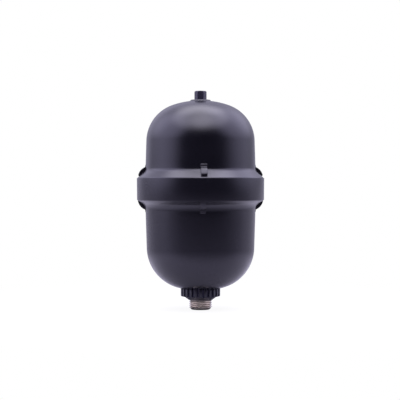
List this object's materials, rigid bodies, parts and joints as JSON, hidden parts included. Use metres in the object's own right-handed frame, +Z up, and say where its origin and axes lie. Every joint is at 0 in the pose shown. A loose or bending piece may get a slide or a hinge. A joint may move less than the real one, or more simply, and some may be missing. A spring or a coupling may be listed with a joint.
{
  "type": "expansion tank",
  "caption": "Small black diaphragm expansion tank with a male threaded water nipple below and a capped charging valve on top.",
  "frame": {"origin": "centre of the end face of the water thread", "axes": "+Z up the tank's axis, from the water thread to the charging valve; +Y away from the viewer"},
  "size_m": [0.1164, 0.1164, 0.1997],
  "materials": {
    "shell_black": "satin moulded",
    "band_black": "satin moulded",
    "collar_black": "fine matt",
    "cap_black": "satin moulded",
    "nipple_steel": "turned stainless steel",
    "valve_brass": "turned brass",
    "spring_steel": "drawn wire",
    "seal_rubber": "smooth",
    "diaphragm_rubber": "moulded butyl",
    "inner_plastic": "natural moulded"
  },
  "bodies": {
    "tank": {"lower_shell": "shell_black", "upper_shell": "shell_black", "joint_band": "band_black", "diaphragm": "diaphragm_rubber", "diaphragm_clamp_ring": "inner_plastic", "diaphragm_button": "inner_plastic", "water_nipple": "nipple_steel", "nipple_o_ring": "seal_rubber", "fluted_collar": "collar_black", "valve_body": "valve_brass", "valve_o_ring": "seal_rubber", "core_plug": "valve_brass", "core_barrel": "valve_brass", "core_seal_ring": "seal_rubber", "valve_spring": "spring_steel"},
    "valve_pin": {"valve_pin": "valve_brass", "pin_cup": "valve_brass", "pin_cup_seal": "seal_rubber"},
    "cap_gasket": {"cap_gasket": "seal_rubber"},
    "valve_cap": {"valve_cap": "cap_black"}
  },
  "joints": [
    {"name": "valve_pin_press", "type": "slide", "parent": "tank", "child": "valve_pin", "axis": [0, 0, -1], "range_m": [0, 0.0012], "stiffness_N_per_m": 600, "springref_m": -0.0015, "deforming": ["valve_spring"]},
    {"name": "cap_lift", "type": "slide", "parent": "tank", "child": "cap_gasket", "axis": [0, 0, 1], "range_m": [0, 0.00595]},
    {"name": "cap_turn", "type": "hinge", "parent": "cap_gasket", "child": "valve_cap", "pos_m": [0, 0, 0.195], "axis": [0, 0, 1], "range_deg": [0, 2700]}
  ],
  "couplings": [
    {"joint": "cap_turn", "follows": "cap_lift", "rad_per_m": 7915.8}
  ]
}
